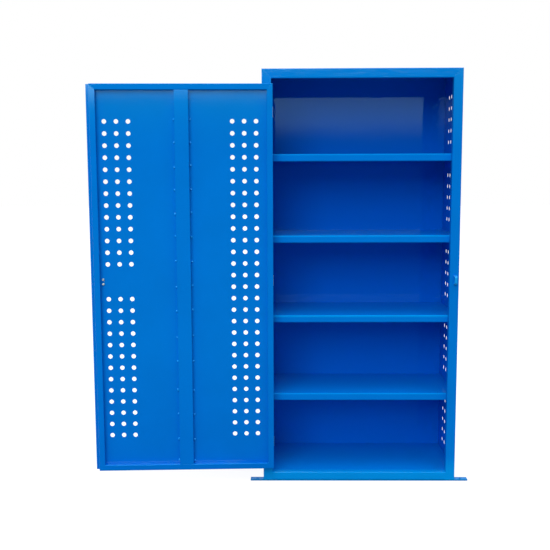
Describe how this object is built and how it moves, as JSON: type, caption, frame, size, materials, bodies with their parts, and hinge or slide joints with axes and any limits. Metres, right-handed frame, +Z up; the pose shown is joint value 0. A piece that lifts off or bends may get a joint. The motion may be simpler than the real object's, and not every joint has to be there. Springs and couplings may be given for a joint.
{
  "type": "safety storage cabinet",
  "caption": "Tall blue sheet-steel storage cabinet with folded shelves, vented side walls, a perforated framed door on butt hinges, a padlock hasp and bolt-down foot bars.",
  "frame": {"origin": "on the floor, at the middle of the four floor-bolt holes in the foot bars, which is also the middle of the cabinet body's footprint", "axes": "+X to the right seen from the front, +Y from the front to the back wall, +Z up; the front faces -Y and the door hangs on the -X jamb"},
  "size_m": [1.6326, 0.4701, 1.79],
  "materials": {
    "powder_coat": "gloss blue powder coat on folded steel sheet",
    "zinc_plate": "bright zinc-plated steel",
    "pin_steel": "plain drawn steel"
  },
  "bodies": {
    "cabinet_body": {"front_jamb_left": "powder_coat", "front_jamb_right": "powder_coat", "front_head": "powder_coat", "front_sill": "powder_coat", "side_panel_left": "powder_coat", "side_panel_right": "powder_coat", "back_panel": "powder_coat", "roof_panel": "powder_coat", "floor_panel": "powder_coat", "front_foot_bar": "powder_coat", "rear_foot_bar": "powder_coat", "shelf_1": "powder_coat", "shelf_2": "powder_coat", "shelf_3": "powder_coat", "shelf_4": "powder_coat", "padlock_staple": "powder_coat", "jamb_leaf_lower": "zinc_plate", "jamb_leaf_middle": "zinc_plate", "jamb_leaf_upper": "zinc_plate", "hinge_pin_lower": "pin_steel", "hinge_pin_middle": "pin_steel", "hinge_pin_upper": "pin_steel", "jamb_leaf_screws": "zinc_plate"},
    "door": {"door_skin": "powder_coat", "door_top_rail": "powder_coat", "door_bottom_rail": "powder_coat", "door_hinge_stile": "powder_coat", "door_lock_stile": "powder_coat", "door_stiffener": "powder_coat", "door_leaf_lower": "zinc_plate", "door_leaf_middle": "zinc_plate", "door_leaf_upper": "zinc_plate", "door_leaf_screws": "zinc_plate", "hasp_base": "zinc_plate", "hasp_pin": "pin_steel", "hasp_bolts": "zinc_plate", "hasp_nuts": "zinc_plate"},
    "hasp_strap": {"hasp_strap": "zinc_plate"}
  },
  "joints": [
    {"name": "door_hinge", "type": "hinge", "parent": "cabinet_body", "child": "door", "pos_m": [-0.3785, -0.2063, 0.897], "axis": [0, 0, 1], "range_deg": [-2.5, 177.5]},
    {"name": "strap_hinge", "type": "hinge", "parent": "door", "child": "hasp_strap", "pos_m": [-1.12332, -0.23812, 0.897], "axis": [0, 0, 1], "range_deg": [0, 180]}
  ]
}
